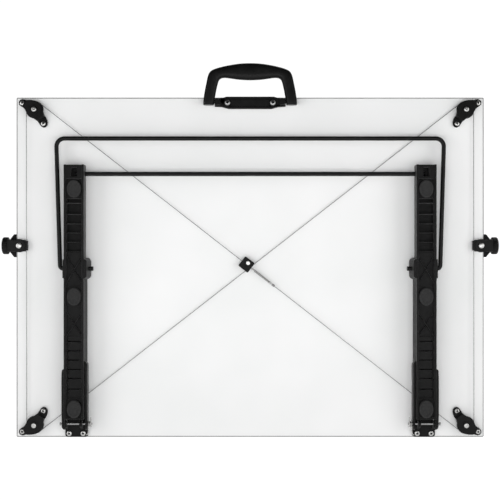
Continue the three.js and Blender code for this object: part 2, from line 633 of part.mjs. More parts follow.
function lockKnob() {
  const g = new THREE.LatheGeometry([
    [0, KNOB_OUTER_X], [9.6, KNOB_OUTER_X], [11.3, KNOB_OUTER_X - 0.7], [KNOB_RADIUS, KNOB_OUTER_X - 2.2],
    [KNOB_RADIUS, KNOB_INNER_X + 0.6], [KNOB_RADIUS - 0.6, KNOB_INNER_X], [0, KNOB_INNER_X],
  ].map(([r, x]) => new THREE.Vector2(r, x)), 24);
  g.rotateZ(-Math.PI / 2);
  g.translate(0, 0, RULER_Z);
  return solid(g);
}

const headRight = rulerHead();
const knobRight = lockKnob();
for (const [side, s] of [['left', -1], ['right', 1]]) {
  const hand = (body) => (s < 0 ? mirrored(body) : body);
  add(`ruler_head_${side}`, hand(headRight), BLACK);
  add(`lock_knob_${side}`, hand(knobRight), BLACK);
  add(`clamp_screw_${side}`, turned([
    [0, 3], [1.9, 3], [1.9, 8.5], [3.9, 8.5], [3.9, 9.6], [2.5, 10.6], [0, 10.6],
  ], s * CLAMP_X, RULER_Z, 12), ZINC);
}

// ---- board: a faced panel with an edge band all round ----

const inner = { x: BOARD_WIDTH / 2 - EDGE_BAND, z: EDGE_BAND };
add('board_panel', block(-inner.x + GAP, inner.x - GAP, -front, front, inner.z + GAP,
  BOARD_HEIGHT - inner.z - GAP).subtract(join(panelHoles)), WHITE_FACE);
add('edge_band', block(-BOARD_WIDTH / 2, BOARD_WIDTH / 2, -front, front, 0, BOARD_HEIGHT)
  .subtract(block(-inner.x, inner.x, -20, 20, inner.z, BOARD_HEIGHT - inner.z)), WHITE_EDGE);

export default board;
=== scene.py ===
import json
import math

import bmesh
import bpy
from mathutils import Matrix, Vector

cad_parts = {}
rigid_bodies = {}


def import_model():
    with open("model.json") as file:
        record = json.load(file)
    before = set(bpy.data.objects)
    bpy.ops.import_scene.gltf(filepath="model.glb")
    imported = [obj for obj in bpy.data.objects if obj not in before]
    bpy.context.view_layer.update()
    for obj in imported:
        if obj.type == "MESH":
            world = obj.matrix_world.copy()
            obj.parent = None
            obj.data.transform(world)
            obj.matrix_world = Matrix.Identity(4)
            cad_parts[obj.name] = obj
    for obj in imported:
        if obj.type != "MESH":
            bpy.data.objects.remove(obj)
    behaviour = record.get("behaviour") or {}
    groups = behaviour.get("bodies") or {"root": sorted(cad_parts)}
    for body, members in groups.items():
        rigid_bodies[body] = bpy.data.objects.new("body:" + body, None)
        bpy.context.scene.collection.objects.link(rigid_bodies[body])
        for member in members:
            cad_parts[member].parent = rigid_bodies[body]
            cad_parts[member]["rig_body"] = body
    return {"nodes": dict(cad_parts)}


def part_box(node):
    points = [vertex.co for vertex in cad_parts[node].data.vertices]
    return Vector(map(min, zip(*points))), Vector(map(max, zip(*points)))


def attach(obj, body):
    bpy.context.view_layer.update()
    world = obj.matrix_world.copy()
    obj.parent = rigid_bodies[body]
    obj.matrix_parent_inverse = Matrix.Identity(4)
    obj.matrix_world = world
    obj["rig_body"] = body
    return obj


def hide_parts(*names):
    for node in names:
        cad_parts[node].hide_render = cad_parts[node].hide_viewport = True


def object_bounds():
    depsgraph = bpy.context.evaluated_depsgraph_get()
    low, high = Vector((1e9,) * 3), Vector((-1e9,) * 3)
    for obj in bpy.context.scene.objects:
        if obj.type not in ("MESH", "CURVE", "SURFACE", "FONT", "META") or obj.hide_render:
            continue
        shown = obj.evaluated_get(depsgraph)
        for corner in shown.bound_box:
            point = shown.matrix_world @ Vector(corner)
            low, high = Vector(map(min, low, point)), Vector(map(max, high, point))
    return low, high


# Lengths are in millimetres, and pieces are scaled to metres as they are made. The board stands on
# its long edge: its back faces -Y, and "out" is a distance off the back.
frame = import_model()
cad_low, cad_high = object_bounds()

MM = 0.001
BACK_Y = -9.0
FRONT_Y = 9.0
SIDES = (("left", -1), ("right", 1))
CORNERS = ("top_left", "top_right", "bottom_left", "bottom_right")


# ---- forms: closed surfaces in a bmesh ----

def off_back(x, z, out):
    return Vector((x, BACK_Y - out, z))


def along_x(out, z, x):
    return Vector((x, BACK_Y - out, z))


def off_front(x, z, above):
    return Vector((x, FRONT_Y + above, z))


def node_box(node):
    low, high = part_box(node)
    return low / MM, high / MM


def node_centre(node):
    low, high = node_box(node)
    return (low + high) / 2


def loft(rings, closed=False):
    """A surface through rings of points, with its ends capped unless it closes on itself."""
    form = bmesh.new()
    rows = [[form.verts.new(point) for point in ring] for ring in rings]
    following = rows[1:] + rows[:1] if closed else rows[1:]
    for row, after in zip(rows, following):
        for i, vertex in enumerate(row):
            j = (i + 1) % len(row)
            form.faces.new((vertex, row[j], after[j], after[i]))
    if not closed:
        form.faces.new(list(reversed(rows[0])))
        form.faces.new(rows[-1])
    bmesh.ops.recalc_face_normals(form, faces=form.faces)
    return form


def circle(radius, count, start=0.0):
    return [(radius * math.cos(start + 2 * math.pi * i / count),
             radius * math.sin(start + 2 * math.pi * i / count)) for i in range(count)]


def ellipse(x, z, width, height, count):
    return [(x + a * width / 2, z + b * height / 2) for a, b in circle(1, count)]


def rectangle(x0, x1, z0, z1):
    return [(x0, z0), (x1, z0), (x1, z1), (x0, z1)]


def rounded(corners, radius, steps=4):
    """A polygon with its corners turned to arcs. radius is one number, or one for each corner."""
    radii = radius if isinstance(radius, (list, tuple)) else [radius] * len(corners)
    outline = []
    for i, r in enumerate(radii):
        here = Vector(corners[i])
        to_last = (Vector(corners[i - 1]) - here).normalized()
        to_next = (Vector(corners[(i + 1) % len(corners)]) - here).normalized()
        half = to_last.angle(to_next) / 2
        if r <= 0 or half > 1.56:
            outline.append(tuple(here))
            continue
        reach = r / math.tan(half)
        centre = here + (to_last + to_next).normalized() * (r / math.sin(half))
        first, last = here + to_last * reach - centre, here + to_next * reach - centre
        for k in range(steps + 1):
            outline.append(tuple(centre + first.slerp(last, k / steps).normalized() * r))
    return outline


def inset(outline, distance):
    """An anticlockwise outline moved inwards."""
    moved = []
    for i, point in enumerate(outline):
        here = Vector(point)
        before = (here - Vector(outline[i - 1])).normalized()
        after = (Vector(outline[(i + 1) % len(outline)]) - here).normalized()
        normals = Vector((-before.y, before.x)) + Vector((-after.y, after.x))
        moved.append(here + normals * (distance / (1 + before.dot(after))))
    return moved


def prism(outline, low, high, place, edge=0.3, steps=2):
    """An outline run from low to high, with its two rims rounded by edge."""
    area = sum(outline[i - 1][0] * b - a * outline[i - 1][1] for i, (a, b) in enumerate(outline))
    outline = outline if area > 0 else outline[::-1]
    turns = [math.pi / 2 * i / steps for i in range(steps + 1)] if edge else [math.pi / 2]
    rim = [(inset(outline, edge * (1 - math.sin(t))), edge * (1 - math.cos(t))) for t in turns]
    rings = [[place(a, b, low + height) for a, b in ring] for ring, height in rim]
    rings += [[place(a, b, high - height) for a, b in ring] for ring, height in reversed(rim)]
    return loft(rings)


def block(x0, x1, out0, out1, z0, z1, edge=0.3):
    """A block on the back of the board with all its edges rounded."""
    outline = rounded(rectangle(min(x0, x1), max(x0, x1), z0, z1), edge, 2)
    return prism(outline, out0, out1, off_back, edge)


def lathe(profile, place, sides=32):
    """A turned piece. The profile is a list of (radius, height), and both ends are capped."""
    return loft([[place(a, b, height) for a, b in circle(radius, sides)] for radius, height in profile])


def at(x, z, place=off_back):
    """Puts a turned piece's axis at x, z."""
    return lambda a, b, height: place(x + a, z + b, height)


def on_x_axis(z, y=0.0):
    """Lays a turned piece along X, at height z."""
    return lambda a, b, x: Vector((x, y + a, z + b))


def tube(path, radius, sides=12, section=None):
    """A bar swept along a path. section(i, angle) gives the radius where it isn't round."""
    rings = []
    normal = (path[1] - path[0]).orthogonal().normalized()
    for i, point in enumerate(path):
        tangent = (path[min(i + 1, len(path) - 1)] - path[max(i - 1, 0)]).normalized()
        normal = (normal - tangent * normal.dot(tangent)).normalized()
        side = tangent.cross(normal)
        ring = []
        for k in range(sides):
            angle = 2 * math.pi * k / sides
            r = section(i, angle) if section else radius
            ring.append(point + (normal * math.cos(angle) + side * math.sin(angle)) * r)
        rings.append(ring)
    return loft(rings)


def arc(centre_a, centre_b, radius, start, end, steps):
    """Points on an arc in a plane; angles are in degrees."""
    turns = [math.radians(start + (end - start) * i / steps) for i in range(steps + 1)]
    return [(centre_a + radius * math.cos(t), centre_b + radius * math.sin(t)) for t in turns]


def as_object(form):
    mesh = bpy.data.meshes.new("part")
    form.to_mesh(mesh)
    form.free()
    part = bpy.data.objects.new("part", mesh)
    bpy.context.scene.collection.objects.link(part)
    return part


def combined(operation, forms):
    """The first form joined to the others, or cut by them, as one solid."""
    parts = [as_object(form) for form in forms]
    for other in parts[1:]:
        step = parts[0].modifiers.new("step", "BOOLEAN")
        step.operation, step.object, step.solver = operation, other, "MANIFOLD"
    graph = bpy.context.evaluated_depsgraph_get()
    mesh = bpy.data.meshes.new_from_object(parts[0].evaluated_get(graph))
    result = bmesh.new()
    result.from_mesh(mesh)
    bpy.data.meshes.remove(mesh)
    for part in parts:
        bpy.data.meshes.remove(part.data)
    bmesh.ops.remove_doubles(result, verts=result.verts, dist=0.002)
    bmesh.ops.dissolve_degenerate(result, edges=result.edges, dist=0.002)
    return result


def joined(*forms):
    return combined("UNION", forms)


def cut(form, *tools):
    return combined("DIFFERENCE", (form,) + tools)


def gathered(*forms):
    """Forms that don't touch, kept together in one mesh."""
    result = bmesh.new()
    for form in forms:
        mesh = bpy.data.meshes.new("part")
        form.to_mesh(mesh)
        form.free()
        result.from_mesh(mesh)
        bpy.data.meshes.remove(mesh)
    return result


def mirrored(form):
    other = form.copy()
    bmesh.ops.scale(other, vec=(-1, 1, 1), verts=other.verts)
    bmesh.ops.reverse_faces(other, faces=other.faces)
    return other


# ---- materials ----

class Surface:
    """A material with one Principled shader, fed by textures in the piece's own coordinates."""

    def __init__(self, name, **sockets):
        self.material = bpy.data.materials.new(name)
        self.material.use_nodes = True
        self.tree = self.material.node_tree
        self.shader = self.tree.nodes["Principled BSDF"]
        self.coordinates = self.tree.nodes.new("ShaderNodeTexCoord").outputs["Object"]
        for socket, value in sockets.items():
            self.shader.inputs[socket.replace("_", " ")].default_value = value

    def noise(self, size, detail=3.0, stretch=(1, 1, 1)):
        """Noise whose features are about size millimetres, drawn out along an axis by stretch."""
        mapping = self.tree.nodes.new("ShaderNodeMapping")
        mapping.inputs["Scale"].default_value = [1 / s for s in stretch]
        texture = self.tree.nodes.new("ShaderNodeTexNoise")
        texture.inputs["Scale"].default_value = 1 / (size * MM)
        texture.inputs["Detail"].default_value = detail
        self.tree.links.new(self.coordinates, mapping.inputs["Vector"])
        self.tree.links.new(mapping.outputs["Vector"], texture.inputs["Vector"])
        return texture.outputs["Fac"]

    def colour(self, pattern, dark, light, spread=(0.3, 0.7)):
        ramp = self.tree.nodes.new("ShaderNodeValToRGB")
        for stop, position, tone in zip(ramp.color_ramp.elements, spread, (dark, light)):
            stop.position = position
            stop.color = (*tone, 1)
        self.tree.links.new(pattern, ramp.inputs["Fac"])
        self.tree.links.new(ramp.outputs["Color"], self.shader.inputs["Base Color"])

    def roughness(self, pattern, low, high):
        span = self.tree.nodes.new("ShaderNodeMapRange")
        span.inputs["From Min"].default_value, span.inputs["From Max"].default_value = 0.3, 0.7
        span.inputs["To Min"].default_value, span.inputs["To Max"].default_value = low, high
        self.tree.links.new(pattern, span.inputs["Value"])
        self.tree.links.new(span.outputs["Result"], self.shader.inputs["Roughness"])

    def bump(self, pattern, height, strength=1.0):
        """Relief of about height millimetres."""
        bump = self.tree.nodes.new("ShaderNodeBump")
        bump.inputs["Distance"].default_value = height * MM
        bump.inputs["Strength"].default_value = strength
        self.tree.links.new(pattern, bump.inputs["Height"])
        self.tree.links.new(bump.outputs["Normal"], self.shader.inputs["Normal"])


def grey(value, tint=(1, 1, 1)):
    return tuple(value * t for t in tint)


def melamine():
    """White melamine facing: a faint mottle and a fine orange-peel texture."""
    s = Surface("melamine", Specular_IOR_Level=0.4)
    s.colour(s.noise(140, 2), grey(0.80, (1, 1.01, 1.005)), grey(0.86))
    s.roughness(s.noise(25), 0.38, 0.5)
    s.bump(s.noise(0.9), 0.01, 0.4)
    return s.material


def edge_strip():
    s = Surface("edge_strip", Specular_IOR_Level=0.35)
    s.colour(s.noise(20), grey(0.21), grey(0.25))
    s.roughness(s.noise(4), 0.4, 0.55)
    s.bump(s.noise(0.6), 0.02, 0.4)
    return s.material


def moulded_black():
    """Black plastic out of a mould, with a fine spark-eroded texture."""
    s = Surface("moulded_black", Specular_IOR_Level=0.11, Sheen_Weight=0.10, Sheen_Roughness=0.35)
    s.colour(s.noise(9, 4), grey(0.003), grey(0.006))
    s.roughness(s.noise(3, 4), 0.36, 0.52)
    s.bump(s.noise(0.35, 2), 0.03, 0.5)
    return s.material


def smooth_black():
    """The glossier black of the covers, knobs and handle."""
    s = Surface("smooth_black", Specular_IOR_Level=0.12)
    s.colour(s.noise(14, 3), grey(0.003), grey(0.006))
    s.roughness(s.noise(5, 4), 0.34, 0.46)
    s.bump(s.noise(0.5, 2), 0.02, 0.4)
    return s.material


def rubber():
    s = Surface("rubber", Specular_IOR_Level=0.25)
    s.colour(s.noise(2.5, 5), grey(0.018), grey(0.030))
    s.roughness(s.noise(1.2), 0.78, 0.95)
    s.bump(s.noise(0.3, 3), 0.06, 0.6)
    return s.material


def zinc():
    """Bright zinc plating."""
    s = Surface("zinc", Metallic=1.0)
    s.colour(s.noise(1.6), grey(0.40, (1, 0.995, 0.97)), grey(0.54, (1, 1, 0.985)))
    s.roughness(s.noise(0.8), 0.2, 0.36)
    s.bump(s.noise(0.25), 0.01, 0.3)
    return s.material


def steel():
    s = Surface("steel", Metallic=1.0)
    s.colour(s.noise(1.0), grey(0.22), grey(0.32))
    s.roughness(s.noise(0.7), 0.25, 0.42)
    s.bump(s.noise(0.2), 0.01, 0.3)
    return s.material


def painted_rod():
    """Satin black paint on a steel rod."""
    s = Surface("painted_rod", Specular_IOR_Level=0.14)
    s.colour(s.noise(8), grey(0.004), grey(0.008))
    s.roughness(s.noise(3), 0.28, 0.42)
    s.bump(s.noise(0.8), 0.02, 0.4)
    return s.material


def anodised():
    """Black anodised aluminium, drawn along X."""
    s = Surface("anodised", Metallic=0.7)
    s.colour(s.noise(0.5, 3, (60, 1, 1)), grey(0.03), grey(0.05, (0.96, 1, 1.05)))
    s.roughness(s.noise(0.4, 3, (80, 1, 1)), 0.3, 0.45)
    s.bump(s.noise(0.3, 2, (90, 1, 1)), 0.01, 0.4)
    return s.material


def acrylic():
    s = Surface("acrylic", Transmission_Weight=1.0, IOR=1.49)
    s.colour(s.noise(60), (0.93, 0.965, 0.97), (0.97, 0.99, 0.99))
    s.roughness(s.noise(0.6, 4, (25, 1, 1)), 0.02, 0.09)
    s.bump(s.noise(2.0), 0.003, 0.2)
    return s.material


def ink():
    s = Surface("ink", Specular_IOR_Level=0.2)
    s.colour(s.noise(0.4), grey(0.012), grey(0.03))
    s.roughness(s.noise(0.3), 0.6, 0.8)
    return s.material


MELAMINE, EDGE, BLACK, GLOSS = melamine(), edge_strip(), moulded_black(), smooth_black()
RUBBER, ZINC, STEEL, ROD = rubber(), zinc(), steel(), painted_rod()
ANODISED, ACRYLIC, INK = anodised(), acrylic(), ink()


# ---- pieces ----

def show(name, form, material, slot, stands_for, sharp=32, on_body=None):
    """Makes a piece of the object, riding on the body of the CAD node it stands for."""
    mesh = bpy.data.meshes.new(name)
    form.to_mesh(mesh)
    form.free()
    mesh.transform(Matrix.Scale(MM, 4))
    mesh.shade_smooth()
    mesh.set_sharp_from_angle(angle=math.radians(sharp))
    mesh.materials.append(material)
    piece = bpy.data.objects.new(name, mesh)
    bpy.context.scene.collection.objects.link(piece)
    piece.modifiers.new("even_shading", "WEIGHTED_NORMAL").keep_sharp = True
    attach(piece, on_body or frame["nodes"][stands_for]["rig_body"])
    if stands_for:
        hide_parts(stands_for)
    return piece


def both(make, node, material, slot, **how):
    """A piece on the right and its mirror image on the left."""
    right = make()
    left = mirrored(right)
    show(f"{node}_right_piece", right, material, slot, f"{node}_right", **how)
    show(f"{node}_left_piece", left, material, slot, f"{node}_left", **how)


# ---- screws ----

def cross_recess(reach, width, floor, top):
    """The tool that cuts a cross recess, narrower at its floor."""
    def bar(a, b):
        low = [(x * 0.72, z * 0.72, floor) for x, z in rectangle(-a, a, -b, b)]
        high = [(x, z, top) for x, z in rectangle(-a, a, -b, b)]
        return loft([[Vector(p) for p in low], [Vector(p) for p in high]])
    return joined(bar(reach, width), bar(width, reach))


def pan_head(radius, height, shank, depth):
    """A cross-recess pan head above z 0, and its threaded shank below."""
    def upright(a, b, h):
        return Vector((a, b, h))
    threads = []
    pitch = 1.1
    for i in range(int((depth - 1.5) / pitch)):
        threads += [(shank * 0.78, -depth + 1.5 + i * pitch), (shank, -depth + 1.5 + (i + 0.5) * pitch)]
    crown = [(radius * math.cos(t), height * 0.45 + height * 0.55 * math.sin(t))
             for t in (math.radians(a) for a in (0, 14, 28, 42, 56, 70))]
    profile = [(0.1, -depth)] + threads + [(shank * 0.8, -0.2), (shank * 0.8, 0), (radius * 0.97, 0),
               (radius, height * 0.12)] + crown
    head = lathe(profile, upright, 28)
    return cut(head, cross_recess(radius * 0.5, radius * 0.23, height * -0.2, height + 0.5))


def show_screw(node, form, seat, turn, metal=ZINC):
    """Sets a screw on the back of the board at its node's place."""
    centre = node_centre(node)
    screw = form.copy()
    to_back = Matrix.Translation(off_back(centre.x, centre.z, seat)) @ Matrix.Rotation(math.pi / 2, 4, "X")
    bmesh.ops.transform(screw, matrix=to_back @ Matrix.Rotation(turn, 4, "Z"), verts=screw.verts)
    show(f"{node}_piece", screw, metal, "zinc_plated_steel", node)


COVER_SEAT, HANDLE_SEAT, HINGE_SEAT = 3.9, 8.3, 4.3  # how far off the back the screw heads sit


def screws():
    cover = pan_head(3.3, 2.2, 1.75, 11 + COVER_SEAT)
    handle = pan_head(3.9, 2.4, 2.1, 12 + HANDLE_SEAT)
    hinge = pan_head(3.6, 2.2, 2.0, 12 + HINGE_SEAT)
    for k, corner in enumerate(CORNERS):
        for i in (1, 2):
            show_screw(f"cover_screw_{corner}_{i}", cover, COVER_SEAT, 0.7 * k + 0.5 * i)
    for k, (side, _) in enumerate(SIDES):
        show_screw(f"handle_screw_{side}", handle, HANDLE_SEAT, 0.3 + k, STEEL)
        show_screw(f"hinge_screw_{side}_inner", hinge, HINGE_SEAT, 0.2 + k)
        show_screw(f"hinge_screw_{side}_outer", hinge, HINGE_SEAT, 0.9 + k)


# ---- corner pulleys ----

# The top left cover, from its axle: across towards the board's middle, and up.
COVER_OUTLINE = [
    (-17.4, 15.1), (-13.6, 14.0), (-9.0, 13.2), (-3.4, 13.0), (-0.2, 12.5), (2.8, 11.7), (5.4, 10.4),
    (7.6, 8.7), (9.5, 6.3), (10.8, 3.6), (11.9, -0.6), (12.5, -4.7), (13.3, -7.8), (15.4, -10.6),
    (16.9, -14.3), (17.6, -18.2), (17.0, -21.6), (14.8, -23.9), (11.6, -24.6), (8.6, -23.0),
    (6.2, -19.4), (3.6, -15.8), (0.6, -13.4), (-2.9, -11.3), (-6.4, -9.2), (-9.3, -6.6), (-11.2, -3.2),
    (-13.2, 0.4), (-16.2, 3.2), (-19.6, 5.1), (-21.9, 7.6), (-22.4, 10.6), (-21.0, 13.4),
]
COVER_SCREWS = ((-17.4, 9.4), (11.8, -19.2))
HUMP_RADIUS = 16.4


def corner_place(corner):
    """Puts a shape drawn for the top left corner at the given one."""
    centre = node_centre(f"pulley_{corner}")
    flip_x = -1 if "right" in corner else 1
    flip_z = -1 if "bottom" in corner else 1
    return lambda a, b, out: off_back(centre.x + flip_x * a, centre.z + flip_z * b, out)


def cover(corner):
    place = corner_place(corner)
    dome = [(a * min(1, HUMP_RADIUS / math.hypot(a, b)), b * min(1, HUMP_RADIUS / math.hypot(a, b)))
            for a, b in COVER_OUTLINE]
    hump = prism(dome, 0.3, 10.3, place, 1.3, 4)
    pads = prism(COVER_OUTLINE, 0.35, 3.6, place, 0.8, 3)
    bosses = [lathe([(4.6, 0.4), (4.6, 3.2), (4.2, 3.85), (3.9, 3.85)],
                    lambda a, b, out, s=s: place(s[0] + a, s[1] + b, out), 28)
              for s in COVER_SCREWS]
    collar = lathe([(6.2, 5), (6.2, 10.5), (5.8, 10.9)], place, 32)
    room = lathe([(12.8, -1), (12.8, 8.1)], place, 40)
    bore = lathe([(3.2, -2), (3.2, 12)], place, 24)
    return cut(joined(hump, pads, *bosses, collar), room, bore)


def pulley(corner):
    groove = -(node_centre(f"pulley_{corner}").y - BACK_Y)
    bottom = [(10.45 + 0.85 * (1 - math.cos(math.radians(t))), 0.8 * math.sin(math.radians(t)))
              for t in (-75, -45, -15, 15, 45, 75)]
    profile = [(3.1, -2), (11.9, -2), (12.2, -1.7), (12.2, -1.2)] + bottom + [
        (12.2, 1.2), (12.2, 1.7), (11.9, 2), (3.1, 2)]
    place = corner_place(corner)
    rings = [[place(a, b, groove + h) for a, b in circle(r, 40)] for r, h in profile]
    return loft(rings, closed=True)


def axle(corner):
    """A shouldered bolt whose head carries a hexagon socket."""
    head = 10.6
    stem = lathe([(2.6, -13), (3, -12.4), (3, head), (3.45, head), (3.6, head + 0.3), (3.6, head + 1.5),
                  (3.3, head + 2.1), (2.7, head + 2.5), (1.9, head + 2.6)], corner_place(corner), 32)
    place = corner_place(corner)
    socket = prism(circle(1.45, 6), head + 0.9, head + 3.2, place, 0)
    return cut(stem, socket)


def corner_pulleys():
    for corner in CORNERS:
        show(f"cover_{corner}_piece", cover(corner), GLOSS, "black_plastic", f"cover_{corner}")
        show(f"pulley_{corner}_piece", pulley(corner), BLACK, "black_plastic", f"pulley_{corner}")
        show(f"axle_{corner}_piece", axle(corner), ZINC, "zinc_plated_steel", f"axle_{corner}")


# ---- drive wire and tensioner ----

WIRE_RADIUS = 0.5
WIRE_TURN = 11.4
STRANDS = 6
STRAND_PITCH = 7.0


def wire_slope():
    low, high = node_centre("pulley_bottom_left"), node_centre("pulley_top_right")
    span = high - low
    return math.atan2(span.z, span.x) + math.asin(2 * WIRE_TURN / math.hypot(span.x, span.z))


SLOPE = wire_slope()
BLOCK_ALONG = -6.4
TENSION_SCREW = (0.6, 2.9)  # along the wire and beside it, from the block's centre


def on_diagonal(along):
    """A point on the wire from top left to bottom right, measured from the board's centre."""
    out = -(node_centre("pulley_top_left").y - BACK_Y)
    middle = (node_centre("pulley_top_left").z + node_centre("pulley_bottom_left").z) / 2
    return off_back(along * math.cos(SLOPE), middle - along * math.sin(SLOPE), out)


def wire_path():
    """One run: a figure of eight around the four pulleys, with both ends in the tension block."""
    lean = 90 - math.degrees(SLOPE)
    turns = (("bottom_right", 180 + lean, 360), ("top_right", 0, 180 - lean),
             ("bottom_left", 360 - lean, 180), ("top_left", 180, lean))
    points = [on_diagonal(BLOCK_ALONG + 0.2)]
    for corner, start, end in turns:
        centre = node_centre(f"pulley_{corner}")
        points += [Vector((x, centre.y, z)) for x, z in arc(centre.x, centre.z, WIRE_TURN, start, end, 24)]
    points.append(on_diagonal(BLOCK_ALONG - 0.2))
    path = [points[0]]
    for before, after in zip(points, points[1:]):
        count = max(1, round((after - before).length / 1.2))
        path += [before.lerp(after, (k + 1) / count) for k in range(count)]
    return path


def drive_wire():
    path = wire_path()
    run, travelled = [0.0], 0.0
    for before, after in zip(path, path[1:]):
        travelled += (after - before).length
        run.append(travelled)

    def strands(i, angle):
        return WIRE_RADIUS * (0.93 + 0.09 * math.cos(STRANDS * angle - 2 * math.pi * run[i] / STRAND_PITCH))
    return tube(path, WIRE_RADIUS, 2 * STRANDS, strands)


def along_wire(x, side, up):
    """Places a point of the tensioner: x along the wire from the block's centre, side in the board's
    plane and up off the back."""
    origin = on_diagonal(BLOCK_ALONG)
    direction = Vector((math.cos(SLOPE), 0, -math.sin(SLOPE)))
    across = Vector((math.sin(SLOPE), 0, math.cos(SLOPE)))
    return origin + direction * x + across * side + Vector((0, -up, 0))


def tension_block():
    half = 8.25
    body = prism(rounded(rectangle(-half, half, -half, half), 1.6), -1.9, 2.3, along_wire, 0.5, 3)
    seat = lathe([(3.3, 1.0), (3.5, 2.6)], at(*TENSION_SCREW, along_wire), 28)
    groove = prism(rectangle(-9, 9, -0.62, 0.62), -2.5, 0.62, along_wire, 0)
    return cut(body, seat, groove)


def tension_screw():
    place = at(*TENSION_SCREW, along_wire)
    profile = [(1.4, -1.6), (1.4, 1.1), (2.7, 1.1), (2.8, 1.3), (2.8, 2.3), (2.5, 2.7), (1.9, 2.8)]
    head = lathe(profile, place)
    slot = prism(rectangle(-3.2, 3.2, -0.35, 0.35), 2.1, 3.2, place, 0)
    return cut(head, slot)


def tension_spring():
    """A close coil with a hook at each end."""
    radius, start, end, turns = 1.45, 14.0, 40.5, 26
    steps = turns * 14
    coil = []
    for i in range(steps + 1):
        t = 2 * math.pi * turns * i / steps
        x = start + (end - start) * i / steps
        coil.append(along_wire(x, radius * math.cos(t), radius * math.sin(t)))
    near = [along_wire(9.0 + 1.5 * (1 - math.cos(t)), radius * math.sin(t) * 0.9,
                       radius * 0.5 * t / math.pi)
            for t in (math.pi * k / 10 for k in range(-6, 9))]
    far = [along_wire(end + 1.2 + 1.6 * math.sin(t), radius * math.cos(t), 0.3 * math.sin(t))
           for t in (math.pi * k / 10 for k in range(1, 13))]
    return tube(near + coil + far, 0.36, 8)


def wire_ferrule():
    """A crimped sleeve around the wire and its turned-back end."""
    rings = []
    for i in range(25):
        x = 44.6 + 4.6 * i / 24
        squeeze = 0.35 * (math.exp(-((x - 46.0) / 0.35) ** 2) + math.exp(-((x - 47.8) / 0.35) ** 2))
        end = 0.25 * max(0, 1 - min(i, 24 - i) / 2)
        rings.append([along_wire(x, a * (1.55 - end + squeeze * 0.5), b * (1.3 - end - squeeze))
                      for a, b in circle(1, 24)])
    return loft(rings)


def tensioner():
    show("tension_block_piece", tension_block(), BLACK, "black_plastic", "tension_block")
    show("tension_screw_piece", tension_screw(), ZINC, "zinc_plated_steel", "tension_screw")
    show("tension_spring_piece", tension_spring(), ZINC, "bare_steel", "tension_spring")
    show("wire_ferrule_piece", wire_ferrule(), STEEL, "bare_steel", "wire_ferrule")
    show("drive_wire_piece", drive_wire(), STEEL, "bare_steel", "drive_wire", sharp=60)


# ---- handle ----

GRIP = [  # outer and inner points of the grip's sections, from its middle to the end of a leg
    ((0, 518.6), (0, 495.0)), ((14, 518.0), (13, 495.5)), ((27, 516.1), (25, 497.0)),
    ((38, 513.8), (34, 498.2)), ((47.8, 511.0), (39.6, 497.6)), ((54.8, 507.4), (42.7, 495.2)),
    ((58.4, 501.2), (44.3, 491.4)), ((60.7, 491.0), (45.6, 486.4)), ((62.9, 480.0), (47.2, 479.0)),
    ((64.6, 469.0), (48.9, 469.0)), ((65.3, 460.8), (50.0, 460.8)),
]
GRIP_DEPTH = (1.2, 14.8)
HANDLE_PIVOT_Z, HANDLE_PIVOT_OUT = 465.6, 8
HANDLE_SCREW_X, HANDLE_SCREW_Z = 31.4, 464


def smooth_between(points, count):
    """A Catmull-Rom line through the points, with count steps between neighbours."""
    padded = [points[0] * 2 - points[1]] + points + [points[-1] * 2 - points[-2]]
    line = []
    for a, b, c, d in zip(padded, padded[1:], padded[2:], padded[3:]):
        for k in range(count):
            t = k / count
            line.append(0.5 * (2 * b + (c - a) * t + (2 * a - 5 * b + 4 * c - d) * t ** 2
                               + (3 * b - a - 3 * c + d) * t ** 3))
    return line + [points[-1]]


def handle_grip():
    half = [(Vector(outer), Vector(inner)) for outer, inner in GRIP]
    flip = Vector((-1, 1))
    whole = [(o * flip, i * flip) for o, i in reversed(half)] + half[1:]
    outers = smooth_between([o for o, _ in whole], 3)
    inners = smooth_between([i for _, i in whole], 3)
    middle_out = sum(GRIP_DEPTH) / 2
    half_depth = (GRIP_DEPTH[1] - GRIP_DEPTH[0]) / 2

    def section(outer, inner, scale):
        centre, reach = (outer + inner) / 2, (outer - inner) / 2
        ring = []
        for k in range(28):
            t = 2 * math.pi * k / 28
            c, s = math.cos(t), math.sin(t)
            across = math.copysign(abs(c) ** 0.72, c) * scale
            depth = math.copysign(abs(s) ** 0.72, s) * scale
            point = centre + reach * across
            ring.append(off_back(point.x, point.y, middle_out + half_depth * depth))
        return ring
    ends = [0.93, 0.98, 0.995]
    scales = ends + [1] * (len(outers) - 6) + ends[::-1]
    arch = loft([section(o, i, s) for o, i, s in zip(outers, inners, scales)])
    holes = [lathe([(2.9, x0), (2.9, x1)], on_x_axis(HANDLE_PIVOT_Z, BACK_Y - HANDLE_PIVOT_OUT), 24)
             for x0, x1 in ((40, 57.6), (-57.6, -40))]
    return cut(arch, *holes)


def handle_base():
    half = [(33, 472.6), (37, 471.3), (48.2, 471.1), (49.2, 458.9), (38.6, 458.3), (30, 455.8)]
    plan = half + [(-x, z) for x, z in reversed(half)]
    plate = prism(rounded(plan, [3, 3, 1, 1, 3, 3] + [3, 3, 1, 1, 3, 3]), 0.3, 7.2, off_back, 1.0, 3)
    panel = prism(rounded(rectangle(-27, 27, 459.2, 468.8), 2), 6.5, 8.0, off_back, 0.5, 3)
    parts = [plate, panel]
    for s in (-1, 1):
        parts.append(lathe([(5.4, 5), (5.4, 7.7), (5.1, 8.0)], at(s * HANDLE_SCREW_X, HANDLE_SCREW_Z), 32))
        parts.append(block(s * 41, s * 48.4, 2, 12.6, 460.4, 469.4, 0.8))
        parts.append(lathe([(2.6, 45 * s), (2.6, 56.4 * s), (2.2, 57 * s)],
                           on_x_axis(HANDLE_PIVOT_Z, BACK_Y - HANDLE_PIVOT_OUT), 24))
    return joined(*parts)


